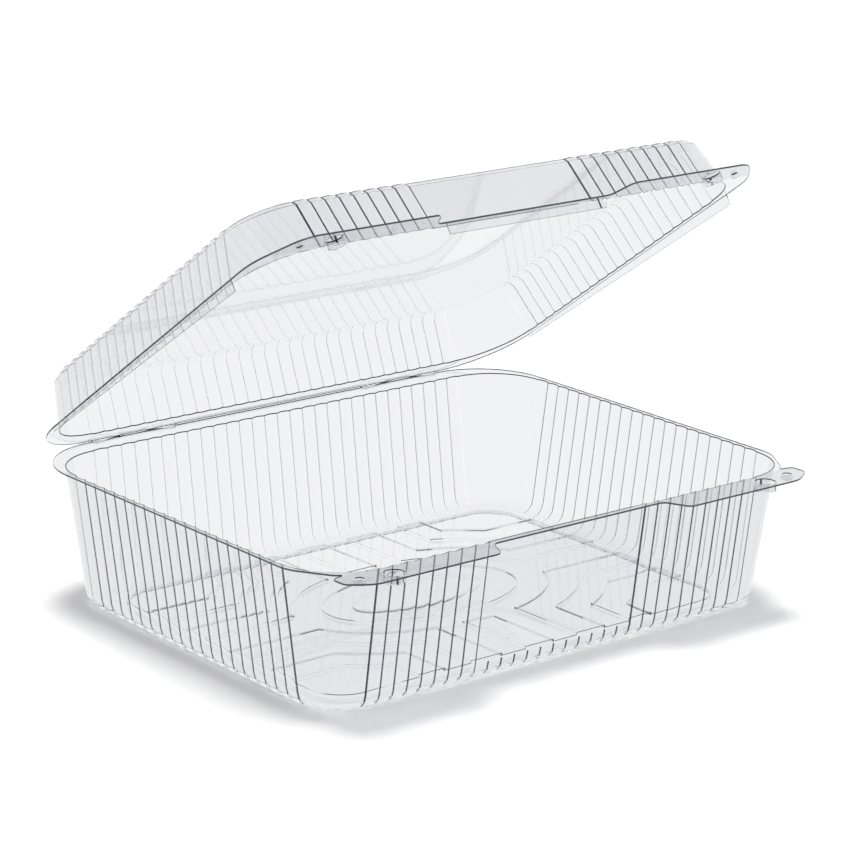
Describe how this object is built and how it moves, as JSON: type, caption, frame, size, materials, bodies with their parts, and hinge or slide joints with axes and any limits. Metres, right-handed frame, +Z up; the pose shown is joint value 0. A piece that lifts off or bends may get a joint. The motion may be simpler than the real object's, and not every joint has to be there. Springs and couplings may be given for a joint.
{
  "type": "hinged clear plastic food pack",
  "caption": "Oblong clear plastic clamshell pack with fluted walls, a deep tray, a shallow lid standing part open on its hinge, and snap tabs at the front corners.",
  "frame": {"origin": "on the table, in the middle of the open pack's footprint", "axes": "+X along the hinge to the right, +Y towards the hinge at the back, +Z up; the tabs are at -Y"},
  "size_m": [0.2354, 0.2, 0.1761],
  "materials": {
    "clear_tray": "clear thermoformed sheet, glossy on both faces",
    "clear_lid": "clear thermoformed sheet, glossy on both faces"
  },
  "bodies": {
    "tray": {"tray": "clear_tray"},
    "lid": {"lid": "clear_lid"}
  },
  "joints": [
    {"name": "lid_hinge", "type": "hinge", "parent": "tray", "child": "lid", "pos_m": [0, 0.09997, 0.05515], "axis": [-1, 0, 0], "range_deg": [-34.9, 145.1]}
  ]
}
